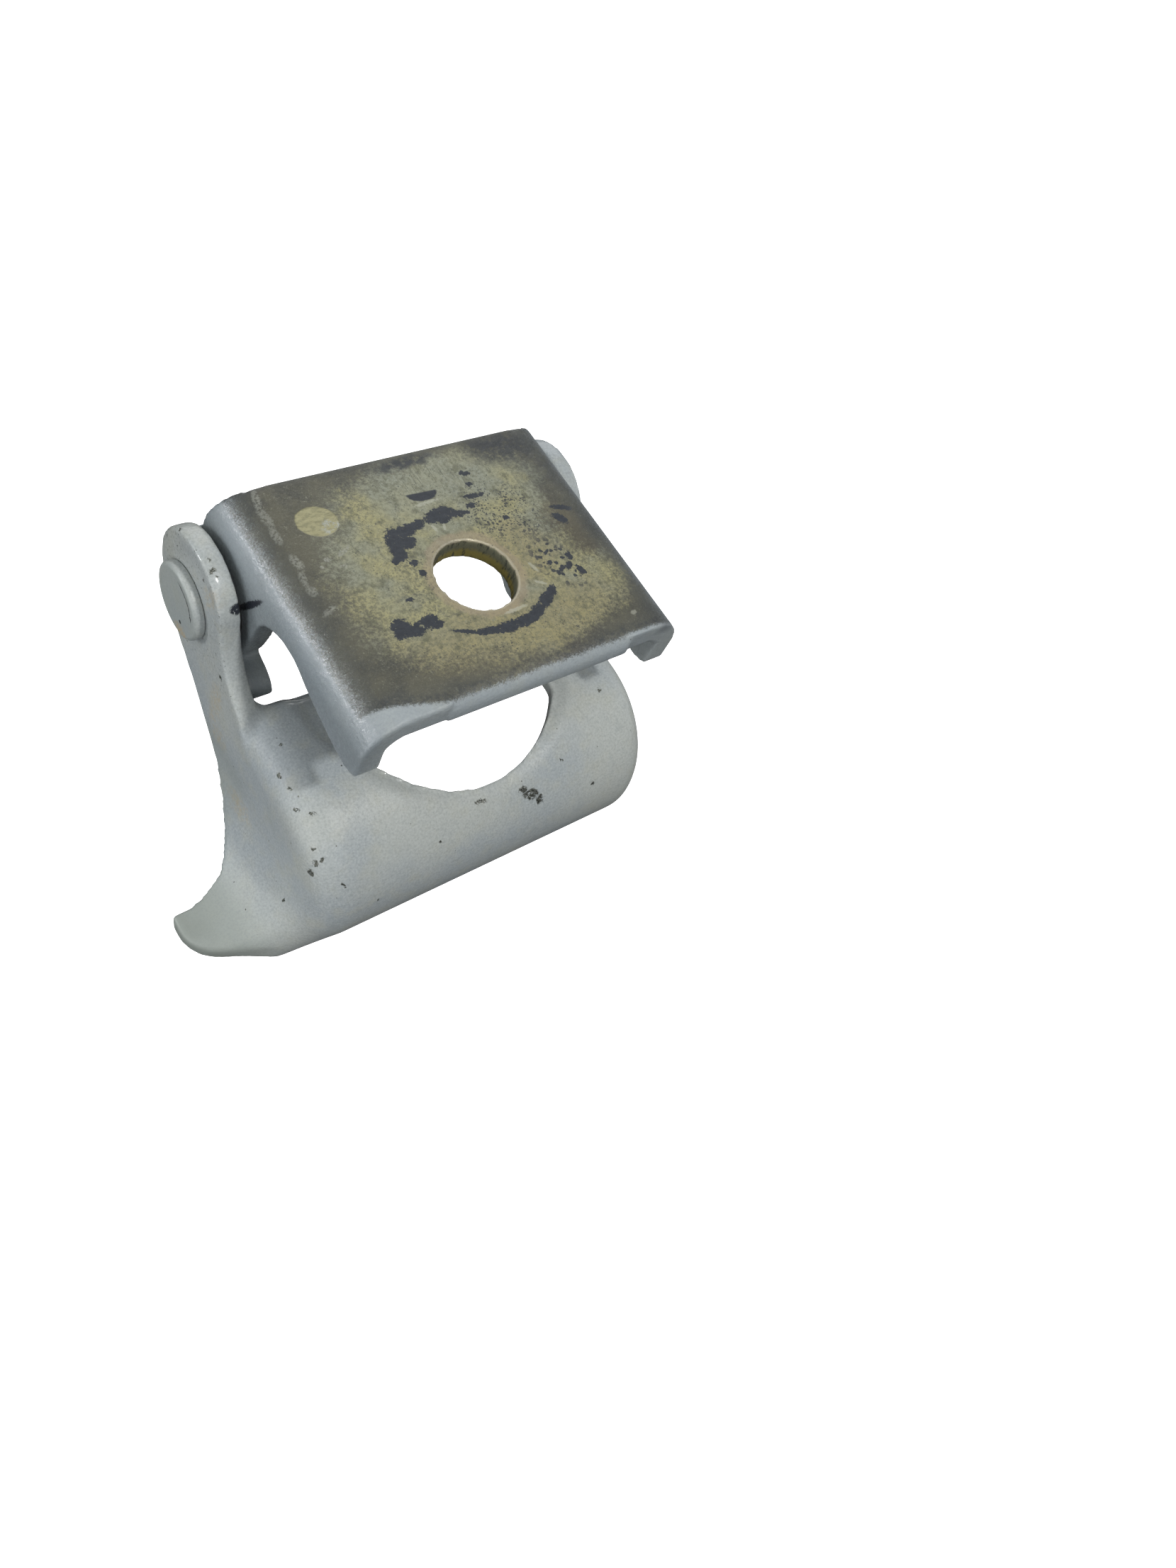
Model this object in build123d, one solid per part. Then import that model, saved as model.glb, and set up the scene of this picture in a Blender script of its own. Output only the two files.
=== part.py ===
from build123d import *
import os
import math

# ------------------------------------------------------------------
# Pressed-steel pivot hinge: U-channel bracket, one-piece arm, pin.
# Units mm.  Origin: centre of the bolt hole on the outer top face of
# the channel bracket.  X along the pivot axis, Y towards the pivot,
# Z up, out of the bracket's mounting face.
# ------------------------------------------------------------------

# channel bracket
CH_HALF = 25.0          # half width over the flanges
CH_T = 3.5              # sheet
CH_BEND = 6.0           # outer bend radius
CH_BACK = 21.05         # back edge of the top
CH_FRONT = -16.4        # free edge of the middle part
HOLE_R = 5.5            # bolt hole
TAB_L = -13.3           # corner tab limits along the free edge
TAB_R = 14.9

# pivot
PIN_Y = 18.4
PIN_Z = -15.2
SHANK_R = 4.0
HEAD_R = 5.3
HEAD_H = 1.5
BUSH_BORE = 4.05
BUSH_R = 5.5
COLLAR_R = 7.0
COLLAR_T = 0.9
LOBE_R = 8.5            # pivot lobe of the channel flange

# arm
ARM_HALF = 29.0         # half width over the ears
ARM_T = 3.0             # sheet
EAR_R = 8.4
EAR_Y = 17.9            # centre of the ear's round end
EAR_Z = -13.15
WEB_Z = -21.5           # outer face of the web
KNEE_Y = -8.3           # knee centre
KNEE_R = 15.6           # outer knee radius
FOOT_TILT = 20.6        # foot plate leans back from vertical, degrees
NOTCH_Y = 3.3           # web edge at the notch, on the outer face
NOTCH_Y_IN = 5.35       # and on the inner face
NOTCH_HALF = 25.4
ARM_BEND = 5.3          # outer web-to-flange bend
FLARE_Z = -34.8         # height where the flanges start to flare
FLARE_R = 13.0
FLARE_X = 42.0
WING_HALF = 42.2
WING_Z = -50.9          # lower rim of the wings
FOOT_HALF = 30.0
FOOT_LEN = 26.0         # plate length below the knee
FOOT_HOLE_R = 4.5
FOOT_HOLE_X = 17.0
FOOT_HOLE_S = 14.0      # distance of the holes below the knee tangent
OPEN_R = 18.7           # D-shaped opening: arc radius and centre
OPEN_X = -0.8
OPEN_Y = 1.2
OPEN_HALF = 15.9
OPEN_TOP = -2.0

os.makedirs("parts", exist_ok=True)


# ------------------------------------------------------------------
# channel bracket
# ------------------------------------------------------------------
def make_channel():
    # U section in XZ, extruded along Y
    with BuildSketch(Plane.XZ) as sec:
        with Locations((0, -20)):
            Rectangle(2 * CH_HALF, 40)
        fillet([v for v in sec.vertices() if v.Y > -1], CH_BEND)
        with Locations((0, -CH_T - 20)):
            Rectangle(2 * (CH_HALF - CH_T), 40, mode=Mode.SUBTRACT)
    section = sec.sketch
    body = extrude(section, amount=60, both=True)
    inner = [e for e in body.edges()
             if abs(e.center().Z + CH_T) < 0.01
             and abs(abs(e.center().X) - (CH_HALF - CH_T)) < 0.01]
    if inner:
        body = fillet(inner, CH_BEND - CH_T)

    # side silhouette of the flanges
    with BuildSketch(Plane.YZ) as side:
        with BuildLine():
            Polyline((CH_FRONT, 1.0), (CH_FRONT, -8.4))
            Spline((CH_FRONT, -8.4), (-15.6, -9.6), (-12.9, -10.1), (-7.6, -8.95),
                   (-3.4, -7.7), (-0.3, -6.45), (1.6, -6.3), (3.6, -6.6), (5.6, -7.6),
                   (7.5, -9.3), (8.7, -11.8), (9.5, -14.8), (10.1, -16.9), (10.9, -19.3),
                   (12.05, -21.6))
            # low stop toe ahead of the pivot lobe
            Spline((12.05, -21.6), (11.0, -21.9), (9.8, -22.2), (8.3, -22.95), (7.4, -23.9),
                   (7.05, -25.1), (7.5, -25.85), (8.5, -26.5), (9.9, -26.9), (11.6, -26.8), (13.2, -25.8))
            a0 = math.radians(-92)
            Line((13.2, -25.8),
                 (PIN_Y + LOBE_R * math.cos(a0), PIN_Z + LOBE_R * math.sin(a0)))
            a1 = math.radians(50)
            mid = (a0 + a1) / 2 if a0 < a1 else (a0 + a1 + 2 * math.pi) / 2
            ThreePointArc(
                (PIN_Y + LOBE_R * math.cos(a0), PIN_Z + LOBE_R * math.sin(a0)),
                (PIN_Y + LOBE_R * math.cos(mid), PIN_Z + LOBE_R * math.sin(mid)),
                (PIN_Y + LOBE_R * math.cos(a1), PIN_Z + LOBE_R * math.sin(a1)))
            Spline((PIN_Y + LOBE_R * math.cos(a1), PIN_Z + LOBE_R * math.sin(a1)),
                   (22.9, -4.8), (CH_BACK, 0.0))
            Polyline((CH_BACK, 0.0), (CH_BACK, 1.0), (CH_FRONT, 1.0))
        make_face()
    keep = extrude(side.sketch, amount=40, both=True)
    body = body & keep

    # the top ends at its back edge; only the flanges carry the lobes
    back = Pos(0, CH_BACK + 10, -20) * Box(2 * (CH_HALF - CH_T - 0.01), 20, 60)
    body = body - back

    # free edge: the middle part is rolled down a little, the corner tabs
    # stand back and keep their full cut face
    tab_l = Pos((-CH_HALF + TAB_L) / 2 - 5, CH_FRONT, -6) * Box(TAB_L + CH_HALF + 10, 0.5, 30)
    tab_r = Pos((CH_HALF + TAB_R) / 2 + 5, CH_FRONT, -6) * Box(CH_HALF - TAB_R + 10, 1.0, 30)
    body = body - tab_l - tab_r
    roll_r = 2.4
    roll = Pos((TAB_L + TAB_R) / 2, CH_FRONT + roll_r / 2, -roll_r / 2) * Box(
        TAB_R - TAB_L, roll_r, roll_r)
    rod = Pos((TAB_L + TAB_R) / 2, CH_FRONT + roll_r, -roll_r) * Rot(0, 90, 0) * Cylinder(
        roll_r, TAB_R - TAB_L + 2)
    body = body - (roll - rod)

    # bolt hole and the two pivot holes
    body = body - Cylinder(HOLE_R, 30)
    body = body - Pos(0, PIN_Y, PIN_Z) * Rot(0, 90, 0) * Cylinder(BUSH_R, 80)
    return body


# ------------------------------------------------------------------
# arm
# ------------------------------------------------------------------
TILT = math.radians(FOOT_TILT)
DIR = (math.sin(TILT), -math.cos(TILT))        # foot direction (y, z)


def envelope(off):
    """solid inside the sheet's surface at depth off below the outer skin."""
    kr = KNEE_R - off
    top = WEB_Z - off
    c = (KNEE_Y, WEB_Z - KNEE_R)
    # tangent point of the knee on the foot plate
    n = (-math.cos(TILT), -math.sin(TILT))
    tp = (c[0] + kr * n[0], c[1] + kr * n[1])
    end = (tp[0] + DIR[0] * 60, tp[1] + DIR[1] * 60)
    m = math.radians(90 + (90 + FOOT_TILT) / 2)
    mid = (c[0] + kr * math.cos(m), c[1] + kr * math.sin(m))
    with BuildSketch(Plane.YZ) as s:
        with BuildLine():
            Line((50, top), (KNEE_Y, top))
            ThreePointArc((KNEE_Y, top), mid, tp)
            Polyline(tp, end, (50, end[1]), (50, top))
        make_face()
    side = extrude(s.sketch, amount=70, both=True)

    h = ARM_HALF - off
    fr = FLARE_R + off
    zb = FLARE_Z - fr
    a = math.radians(225)
    with BuildSketch(Plane.XZ) as f:
        with BuildLine():
            for sg in (1, -1):
                Line((sg * h, 0), (sg * h, FLARE_Z))
                ThreePointArc((sg * h, FLARE_Z),
                              (sg * (FLARE_X + fr * math.cos(a)), FLARE_Z + fr * math.sin(a)),
                              (sg * FLARE_X, zb))
                Line((sg * FLARE_X, zb), (sg * 60, zb))
                Line((sg * 60, zb), (sg * 60, -120))
            Line((-h, 0), (h, 0))
            Line((-60, -120), (60, -120))
        make_face()
    front = extrude(f.sketch, amount=120, both=True)
    body = side & front
    # edges shared by the front skin and the side skin
    r = ARM_BEND - off
    pick = []
    for e in body.edges():
        p0, p1 = e.position_at(0.0), e.position_at(1.0)
        pm = e.position_at(0.5)
        ok = True
        for p in (p0, pm, p1):
            on_front = skin_gap(p.Y, p.Z, off) < 0.02
            on_side = side_gap(p.X, p.Z, off) < 0.02
            if not (on_front and on_side):
                ok = False
        if ok and e.length > 0.5:
            pick.append(e)
    return fillet(pick, r)


def skin_gap(y, z, off):
    """distance in YZ to the front skin line at depth off."""
    c = (KNEE_Y, WEB_Z - KNEE_R)
    kr = KNEE_R - off
    n = (-math.cos(TILT), -math.sin(TILT))
    gaps = []
    if y >= KNEE_Y - 1e-6:
        gaps.append(abs(z - (WEB_Z - off)))
    d = math.hypot(y - c[0], z - c[1])
    if y < KNEE_Y + 1e-6:
        gaps.append(abs(d - kr))
    tp = (c[0] + kr * n[0], c[1] + kr * n[1])
    v = (y - tp[0], z - tp[1])
    if v[0] * DIR[0] + v[1] * DIR[1] > -1e-6:
        gaps.append(abs(v[0] * n[0] + v[1] * n[1]))
    return min(gaps) if gaps else 99.0


def side_gap(x, z, off):
    x = abs(x)
    h = ARM_HALF - off
    fr = FLARE_R + off
    if z > FLARE_Z - 1e-6:
        return abs(x - h)
    if x <= FLARE_X + 1e-6:
        return abs(math.hypot(x - FLARE_X, z - FLARE_Z) - fr)
    return abs(z - (FLARE_Z - fr))


def make_arm():
    shell = envelope(0.0) - envelope(ARM_T)

    # side silhouette: free edge of the flanges, wings and foot plate
    foot0 = (KNEE_Y - KNEE_R * math.cos(TILT), WEB_Z - KNEE_R - KNEE_R * math.sin(TILT))
    fe = (foot0[0] + DIR[0] * FOOT_LEN, foot0[1] + DIR[1] * FOOT_LEN)
    nx = (math.cos(TILT), math.sin(TILT))       # inward normal of the plate
    with BuildSketch(Plane.YZ) as s:
        with BuildLine():
            Polyline((-60, -10), (NOTCH_Y_IN, -10), (NOTCH_Y_IN, -27.9), (15.3, -27.9),
                     (14.8, -29.6))
            Spline((14.8, -29.6), (11.5, -33.0), (8.1, -36.2), (5.0, -38.6), (2.9, -40.1),
                   (0.2, -41.8), (-2.3, -43.2), (-5.3, -44.9), (-6.9, -46.0),
                   (-8.0, -47.2), (-8.8, -48.8))
            Polyline((-8.8, -48.8), (-8.9, WING_Z),
                     (foot0[0] + nx[0] * 6 + DIR[0] * 12, foot0[1] + nx[1] * 6 + DIR[1] * 12),
                     (fe[0] + nx[0] * 6, fe[1] + nx[1] * 6),
                     (fe[0] - nx[0] * 6, fe[1] - nx[1] * 6),
                     (-60, fe[1] - nx[1] * 6), (-60, -10))
        make_face()
    shell = shell & extrude(s.sketch, amount=70, both=True)

    # plan outline of the wings
    with BuildSketch(Plane.XY) as p:
        Rectangle(2 * WING_HALF, 120)
    wing_box = extrude(Pos(0, 0, -90) * p.sketch, amount=100)
    shell = shell & wing_box
    with BuildSketch(Plane.XY) as p2:
        with BuildLine():
            Polyline((-WING_HALF, 60), (WING_HALF, 60), (WING_HALF, -11.0))
            Spline((WING_HALF, -11.0), (41.9, -12.8), (41.0, -14.4), (39.4, -15.8),
                   (37.0, -17.0), (34.0, -18.5), (31.0, -20.3), (28.6, -23.0))
            Polyline((28.6, -23.0), (26.0, -30.0), (-26.0, -30.0), (-28.6, -23.0))
            Spline((-28.6, -23.0), (-31.0, -20.3), (-34.0, -18.5), (-37.0, -17.0),
                   (-39.4, -15.8), (-41.0, -14.4), (-41.9, -12.8), (-WING_HALF, -11.0))
            Line((-WING_HALF, -11.0), (-WING_HALF, 60))
        make_face()
    shell = shell & extrude(Pos(0, 0, -90) * p2.sketch, amount=100)

    # below the wings only the foot plate goes on
    for sg in (1, -1):
        cut = Pos(sg * (FOOT_HALF + 20), 0, WING_Z - 20) * Box(40, 120, 40)
        shell = shell - cut

    # foot plate corners
    plate = [e for e in shell.edges()
             if abs(abs(e.center().X) - FOOT_HALF) < 0.05
             and e.center().Z < fe[1] + 3
             and abs(e.length - ARM_T) < 0.4]
    if plate:
        shell = fillet(plate, 5.0)

    # ears with the upper part of the flanges
    a_f = math.radians(158)
    a_b = math.radians(-18)
    with BuildSketch(Plane.YZ) as ear:
        with BuildLine():
            pf = (EAR_Y + EAR_R * math.cos(a_f), EAR_Z + EAR_R * math.sin(a_f))
            pb = (EAR_Y + EAR_R * math.cos(a_b), EAR_Z + EAR_R * math.sin(a_b))
            am = math.radians(70)
            ThreePointArc(pf, (EAR_Y + EAR_R * math.cos(am), EAR_Z + EAR_R * math.sin(am)), pb)
            Spline(pb, (24.3, -20.4), (20.6, -24.6), (16.8, -27.8), (14.8, -29.6),
                   tangents=((math.sin(a_b), -math.cos(a_b)), (-0.70, -0.72)))
            Polyline((14.8, -29.6), (10.5, -31.0), (3.0, -31.0), (0.5, -28.0))
            Spline((0.5, -28.0), (0.6, -25.8), (1.5, -23.4), (3.1, -21.4),
                   (5.2, -19.8), (6.8, -18.2), (8.0, -16.4), (8.9, -14.6), (9.6, -12.5), pf)
        make_face()
    for sg in (1, -1):
        plane_x = ARM_HALF - ARM_T
        e = extrude(ear.sketch, amount=ARM_T)
        e = Pos(plane_x if sg > 0 else -ARM_HALF, 0, 0) * e
        shell = shell + e

    # notch between the ears
    slope = (NOTCH_Y_IN - NOTCH_Y) / ARM_T
    top_z = WEB_Z + 4.0
    with BuildSketch(Plane.XY) as nt:
        with Locations((0, NOTCH_Y - 4.0 * slope + 30)):
            Rectangle(2 * NOTCH_HALF, 60)
        fillet([v for v in nt.vertices() if v.Y < 20], 1.5)
    notch = extrude(Pos(0, 0, top_z) * nt.sketch, amount=8.0 * math.hypot(1.0, slope),
                    dir=(0, slope, -1))
    notch = notch + Pos(0, NOTCH_Y_IN + 30, -20) * Box(2 * NOTCH_HALF - 3.0, 60, 30)
    shell = shell - notch

    # D-shaped opening in the web
    yk = OPEN_Y - math.sqrt(OPEN_R ** 2 - OPEN_HALF ** 2)
    xl, xr = OPEN_X - OPEN_HALF, OPEN_X + OPEN_HALF
    with BuildSketch(Plane.XY) as d:
        with BuildLine():
            ThreePointArc((xr, yk), (OPEN_X, OPEN_Y - OPEN_R), (xl, yk))
            Polyline((xl, yk), (xl, OPEN_TOP), (xr, OPEN_TOP), (xr, yk))
        make_face()
        fillet([v for v in d.vertices() if v.Y > OPEN_TOP - 0.1], 3.5)
    cutter = extrude(Pos(0, 0, -33) * d.sketch, amount=20)
    shell = shell - cutter

    # pivot bores and foot bolt holes
    shell = shell - Pos(0, PIN_Y, PIN_Z) * Rot(0, 90, 0) * Cylinder(SHANK_R, 80)
    for sg in (1, -1):
        hy = foot0[0] + DIR[0] * FOOT_HOLE_S
        hz = foot0[1] + DIR[1] * FOOT_HOLE_S
        shell = shell - Pos(sg * FOOT_HOLE_X, hy, hz) * Rot(90 + FOOT_TILT, 0, 0) * Cylinder(
            FOOT_HOLE_R, 12)
    return shell


# ------------------------------------------------------------------
# pin and bushes
# ------------------------------------------------------------------
def make_pin():
    half = ARM_HALF
    pin = Cylinder(SHANK_R, 2 * half)
    for sg in (1, -1):
        head = Pos(0, 0, sg * (half + HEAD_H / 2)) * Cylinder(HEAD_R, HEAD_H)
        pin = pin + head
    rims = [e for e in pin.edges() if abs(abs(e.center().Z) - (half + HEAD_H)) < 0.01]
    pin = fillet(rims, 0.6)
    backs = [e for e in pin.edges()
             if abs(abs(e.center().Z) - half) < 0.01 and abs(e.bounding_box().size.X - 2 * HEAD_R) < 0.1]
    pin = fillet(backs, 0.25)
    return Pos(0, PIN_Y, PIN_Z) * Rot(0, 90, 0) * pin


def make_bush(sg):
    x_in = CH_HALF - CH_T
    body = Pos(0, 0, (x_in + CH_HALF) / 2) * Cylinder(BUSH_R, CH_T)
    collar = Pos(0, 0, CH_HALF + COLLAR_T / 2) * Cylinder(COLLAR_R, COLLAR_T)
    b = body + collar - Cylinder(BUSH_BORE, 200)
    if sg < 0:
        b = Rot(180, 0, 0) * b
    return Pos(0, PIN_Y, PIN_Z) * Rot(0, 90, 0) * b


channel = make_channel()
arm = make_arm()
pin = make_pin()
bush_l = make_bush(-1)
bush_r = make_bush(1)

for name, obj in (("channel_bracket", channel), ("arm", arm), ("hinge_pin", pin),
                  ("bush_left", bush_l), ("bush_right", bush_r)):
    sols = obj.solids()
    bb = obj.bounding_box()
    print(name, "solids", len(sols), "valid", obj.is_valid, "vol %.0f" % obj.volume,
          "x %.1f..%.1f y %.1f..%.1f z %.1f..%.1f" % (
              bb.min.X, bb.max.X, bb.min.Y, bb.max.Y, bb.min.Z, bb.max.Z))
    export_step(obj, "parts/%s.step" % name)
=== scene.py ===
import bpy
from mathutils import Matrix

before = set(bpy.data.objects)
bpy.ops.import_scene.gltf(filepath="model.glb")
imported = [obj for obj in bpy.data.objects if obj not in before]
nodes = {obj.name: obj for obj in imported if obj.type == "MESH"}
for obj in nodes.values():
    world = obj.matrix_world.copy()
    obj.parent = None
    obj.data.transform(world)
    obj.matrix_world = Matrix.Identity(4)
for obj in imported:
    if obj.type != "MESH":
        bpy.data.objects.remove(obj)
import bpy
import math
from mathutils import Matrix, Vector

MM = 0.001
scene = bpy.context.scene
scene.view_settings.view_transform = "Standard"
scene.view_settings.look = "None"

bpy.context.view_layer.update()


# ----------------------------------------------------------------------
# small node-graph helper
# ----------------------------------------------------------------------
def lin(r, g, b):
    out = []
    for c in (r, g, b):
        c = c / 255.0
        out.append(c / 12.92 if c <= 0.04045 else ((c + 0.055) / 1.055) ** 2.4)
    return (out[0], out[1], out[2], 1.0)


class Graph:
    def __init__(self, name):
        self.mat = bpy.data.materials.new(name)
        self.mat.use_nodes = True
        self.t = self.mat.node_tree
        self.t.nodes.clear()
        self.out = self.t.nodes.new("ShaderNodeOutputMaterial")
        self.b = self.t.nodes.new("ShaderNodeBsdfPrincipled")
        self.t.links.new(self.b.outputs[0], self.out.inputs[0])
        tc = self.t.nodes.new("ShaderNodeTexCoord")
        self.p = self.vm("SCALE", tc.outputs["Object"], scale=1000.0)
        pm = self.t.nodes.new("ShaderNodeMapping")
        pm.inputs["Scale"].default_value = (1000.0, 1000.0, 1000.0)
        self.t.links.new(tc.outputs["Object"], pm.inputs[0])
        self.pt = pm.outputs[0]
        self.xyz = self.t.nodes.new("ShaderNodeSeparateXYZ")
        self.t.links.new(self.p, self.xyz.inputs[0])
        self.x, self.y, self.z = self.xyz.outputs

    def put(self, sock, v):
        if isinstance(v, bpy.types.NodeSocket):
            self.t.links.new(v, sock)
        else:
            sock.default_value = v

    def m(self, op, a, b=0.0, c=None, clamp=False):
        n = self.t.nodes.new("ShaderNodeMath")
        n.operation = op
        n.use_clamp = clamp
        self.put(n.inputs[0], a)
        self.put(n.inputs[1], b)
        if c is not None:
            self.put(n.inputs[2], c)
        return n.outputs[0]

    def vm(self, op, a, b=None, scale=None):
        n = self.t.nodes.new("ShaderNodeVectorMath")
        n.operation = op
        self.put(n.inputs[0], a)
        if b is not None:
            self.put(n.inputs[1], b)
        if scale is not None:
            self.put(n.inputs["Scale"], scale)
        return n.outputs[1] if op in ("LENGTH", "DISTANCE", "DOT_PRODUCT") else n.outputs[0]

    def noise(self, scale, detail=3.0, rough=0.55, vec=None, color=False, stretch=None, seed=0.0):
        v = self.pt if vec is None else vec
        if stretch is not None or seed:
            mp = self.t.nodes.new("ShaderNodeMapping")
            self.t.links.new(v, mp.inputs[0])
            mp.inputs["Scale"].default_value = stretch or (1, 1, 1)
            mp.inputs["Location"].default_value = (seed * 13.7, seed * 7.3, seed * 3.1)
            v = mp.outputs[0]
        n = self.t.nodes.new("ShaderNodeTexNoise")
        n.inputs["Scale"].default_value = scale
        n.inputs["Detail"].default_value = detail
        n.inputs["Roughness"].default_value = rough
        self.t.links.new(v, n.inputs["Vector"])
        return n.outputs["Color"] if color else n.outputs["Fac"]

    def vor(self, scale, vec=None, feature="F1", rnd=1.0):
        n = self.t.nodes.new("ShaderNodeTexVoronoi")
        n.feature = feature
        n.inputs["Scale"].default_value = scale
        n.inputs["Randomness"].default_value = rnd
        self.t.links.new(self.pt if vec is None else vec, n.inputs["Vector"])
        return n.outputs["Distance"]

    def step(self, v, a, b):
        """0 at a, 1 at b, smooth."""
        n = self.t.nodes.new("ShaderNodeMapRange")
        n.interpolation_type = "SMOOTHSTEP"
        n.clamp = True
        self.put(n.inputs["Value"], v)
        lo, hi = (a, b) if a < b else (b, a)
        n.inputs["From Min"].default_value = lo
        n.inputs["From Max"].default_value = hi
        n.inputs["To Min"].default_value = 0.0 if a < b else 1.0
        n.inputs["To Max"].default_value = 1.0 if a < b else 0.0
        return n.outputs[0]

    def warp(self, scale, amp, seed=0.0, detail=2.0):
        n = self.t.nodes.new("ShaderNodeCombineXYZ")
        for k in range(3):
            q = self.noise(scale, detail, seed=seed + 0.37 * k)
            self.put(n.inputs[k], self.m("MULTIPLY", self.m("SUBTRACT", q, 0.5), amp))
        return self.vm("ADD", self.p, n.outputs[0])

    def ell(self, vec, c, r, ang=0.0, soft=0.18, flat=False):
        """1 inside an ellipse or ellipsoid centred at c (mm)."""
        ca, sa = math.cos(math.radians(ang)), math.sin(math.radians(ang))
        q = self.vm("SUBTRACT", vec, (c[0], c[1], c[2] if len(c) > 2 else 0.0))
        u = self.vm("DOT_PRODUCT", q, (ca / r[0], sa / r[0], 0.0))
        v = self.vm("DOT_PRODUCT", q, (-sa / r[1], ca / r[1], 0.0))
        d = self.m("MULTIPLY_ADD", v, v, self.m("MULTIPLY", u, u))
        if not flat:
            w = self.vm("DOT_PRODUCT", q, (0.0, 0.0, 1.0 / (r[2] if len(r) > 2 else r[0])))
            d = self.m("MULTIPLY_ADD", w, w, d)
        return self.step(d, (1.0 + soft) ** 2, max(1.0 - soft, 0.0) ** 2)

    def union(self, parts):
        v = None
        for q in parts:
            v = q if v is None else self.m("MAXIMUM", v, q)
        return v

    def mul(self, *parts):
        v = parts[0]
        for q in parts[1:]:
            v = self.m("MULTIPLY", v, q)
        return v

    def inv(self, v):
        return self.m("SUBTRACT", 1.0, v, clamp=True)

    def mix(self, fac, a, b):
        n = self.t.nodes.new("ShaderNodeMix")
        n.data_type = "RGBA"
        self.put(n.inputs[0], fac)
        self.put(n.inputs[6], a)
        self.put(n.inputs[7], b)
        return n.outputs[2]

    def mixf(self, fac, a, b):
        n = self.t.nodes.new("ShaderNodeMix")
        n.data_type = "FLOAT"
        self.put(n.inputs[0], fac)
        self.put(n.inputs[2], a)
        self.put(n.inputs[3], b)
        return n.outputs[0]

    def bump(self, height, dist, strength=1.0, prev=None):
        n = self.t.nodes.new("ShaderNodeBump")
        self.put(n.inputs["Height"], height)
        n.inputs["Distance"].default_value = dist
        n.inputs["Strength"].default_value = strength
        if prev is not None:
            self.t.links.new(prev, n.inputs["Normal"])
        return n.outputs[0]

    def done(self, color, rough, metal, normal, spec=0.5):
        self.put(self.b.inputs["Base Color"], color)
        self.put(self.b.inputs["Roughness"], rough)
        self.put(self.b.inputs["Metallic"], metal)
        self.put(self.b.inputs["Specular IOR Level"], spec)
        if normal is not None:
            self.t.links.new(normal, self.b.inputs["Normal"])
        return self.mat


PAINT = lin(168, 173, 170)
PAINT_WARM = lin(169, 171, 160)
PAINT_BLUE = lin(155, 163, 167)
BARE = lin(84, 84, 76)


def paint_base(g):
    """light grey gloss paint with fine mottling, specks and dust."""
    big = g.noise(0.05, 2.0, seed=1.0)
    mid = g.noise(0.35, 3.0, seed=2.0)
    fine = g.noise(3.2, 4.0, 0.65, seed=3.0)
    col = g.mix(g.step(big, 0.36, 0.64), PAINT, PAINT_BLUE)
    col = g.mix(g.m("MULTIPLY", g.step(mid, 0.45, 0.75), 0.45), col, PAINT_WARM)
    col = g.mix(g.m("MULTIPLY", g.step(fine, 0.46, 0.68), 0.34), col, lin(192, 198, 195))
    col = g.mix(g.m("MULTIPLY", g.step(fine, 0.5, 0.34), 0.32), col, lin(124, 131, 131))
    # sparse dark specks
    cell = g.vor(0.55, vec=g.warp(2.5, 0.25, 4.0))
    gate = g.step(g.noise(0.4, 2.0, seed=5.0), 0.5, 0.62)
    speck = g.mul(g.step(cell, 0.085, 0.045), gate)
    tiny = g.mul(g.step(g.vor(1.7, vec=g.warp(5.0, 0.15, 6.0)), 0.075, 0.04),
                 g.step(g.noise(0.25, 2.0, seed=7.0), 0.46, 0.6))
    return col, g.union([speck, g.m("MULTIPLY", tiny, 0.8)])


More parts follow.
